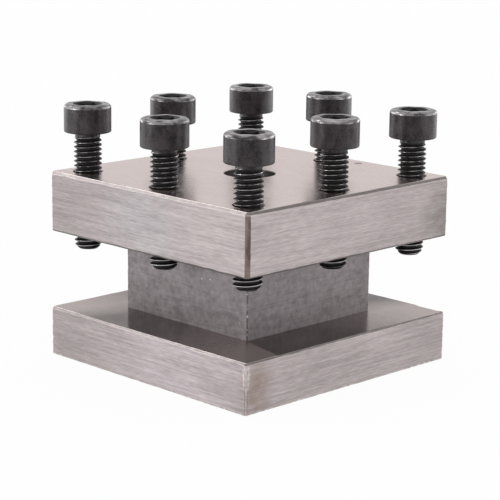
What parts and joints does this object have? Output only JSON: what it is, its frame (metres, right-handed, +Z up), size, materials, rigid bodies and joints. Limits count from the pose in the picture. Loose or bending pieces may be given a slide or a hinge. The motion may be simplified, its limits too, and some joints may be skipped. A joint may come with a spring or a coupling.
{
  "type": "lathe tool turret",
  "caption": "Square lathe tool turret: a steel block with a tool slot milled along each side, a central stud bore and socket head screws that clamp the tools from above.",
  "frame": {"origin": "centre of the block's underside, on the axis of the stud bore", "axes": "+Z up along the stud bore, X and Y square to the sides of the block, -Y the front side"},
  "size_m": [0.06, 0.06, 0.0551],
  "materials": {
    "linished_steel": "linished along the sides, milled in the slots",
    "black_oxide": "black oxide on steel, satin"
  },
  "bodies": {
    "turret": {"turret_block": "linished_steel"},
    "corner_screw_front_left": {"corner_screw_front_left": "black_oxide"},
    "corner_screw_front_right": {"corner_screw_front_right": "black_oxide"},
    "corner_screw_back_right": {"corner_screw_back_right": "black_oxide"},
    "corner_screw_back_left": {"corner_screw_back_left": "black_oxide"},
    "side_screw_front": {"side_screw_front": "black_oxide"},
    "side_screw_right": {"side_screw_right": "black_oxide"},
    "side_screw_back": {"side_screw_back": "black_oxide"},
    "side_screw_left": {"side_screw_left": "black_oxide"}
  },
  "joints": [
    {"name": "corner_screw_front_left_travel", "type": "slide", "parent": "turret", "child": "corner_screw_front_left", "axis": [0, 0, 1], "range_m": [-0.00825, 0.01455]},
    {"name": "corner_screw_front_right_travel", "type": "slide", "parent": "turret", "child": "corner_screw_front_right", "axis": [0, 0, 1], "range_m": [-0.00805, 0.01475]},
    {"name": "corner_screw_back_right_travel", "type": "slide", "parent": "turret", "child": "corner_screw_back_right", "axis": [0, 0, 1], "range_m": [-0.00795, 0.01485]},
    {"name": "corner_screw_back_left_travel", "type": "slide", "parent": "turret", "child": "corner_screw_back_left", "axis": [0, 0, 1], "range_m": [-0.00795, 0.01485]},
    {"name": "side_screw_front_travel", "type": "slide", "parent": "turret", "child": "side_screw_front", "axis": [0, 0, 1], "range_m": [-0.00805, 0.01475]},
    {"name": "side_screw_right_travel", "type": "slide", "parent": "turret", "child": "side_screw_right", "axis": [0, 0, 1], "range_m": [-0.00865, 0.01415]},
    {"name": "side_screw_back_travel", "type": "slide", "parent": "turret", "child": "side_screw_back", "axis": [0, 0, 1], "range_m": [-0.00875, 0.01405]},
    {"name": "side_screw_left_travel", "type": "slide", "parent": "turret", "child": "side_screw_left", "axis": [0, 0, 1], "range_m": [-0.00775, 0.01505]}
  ]
}
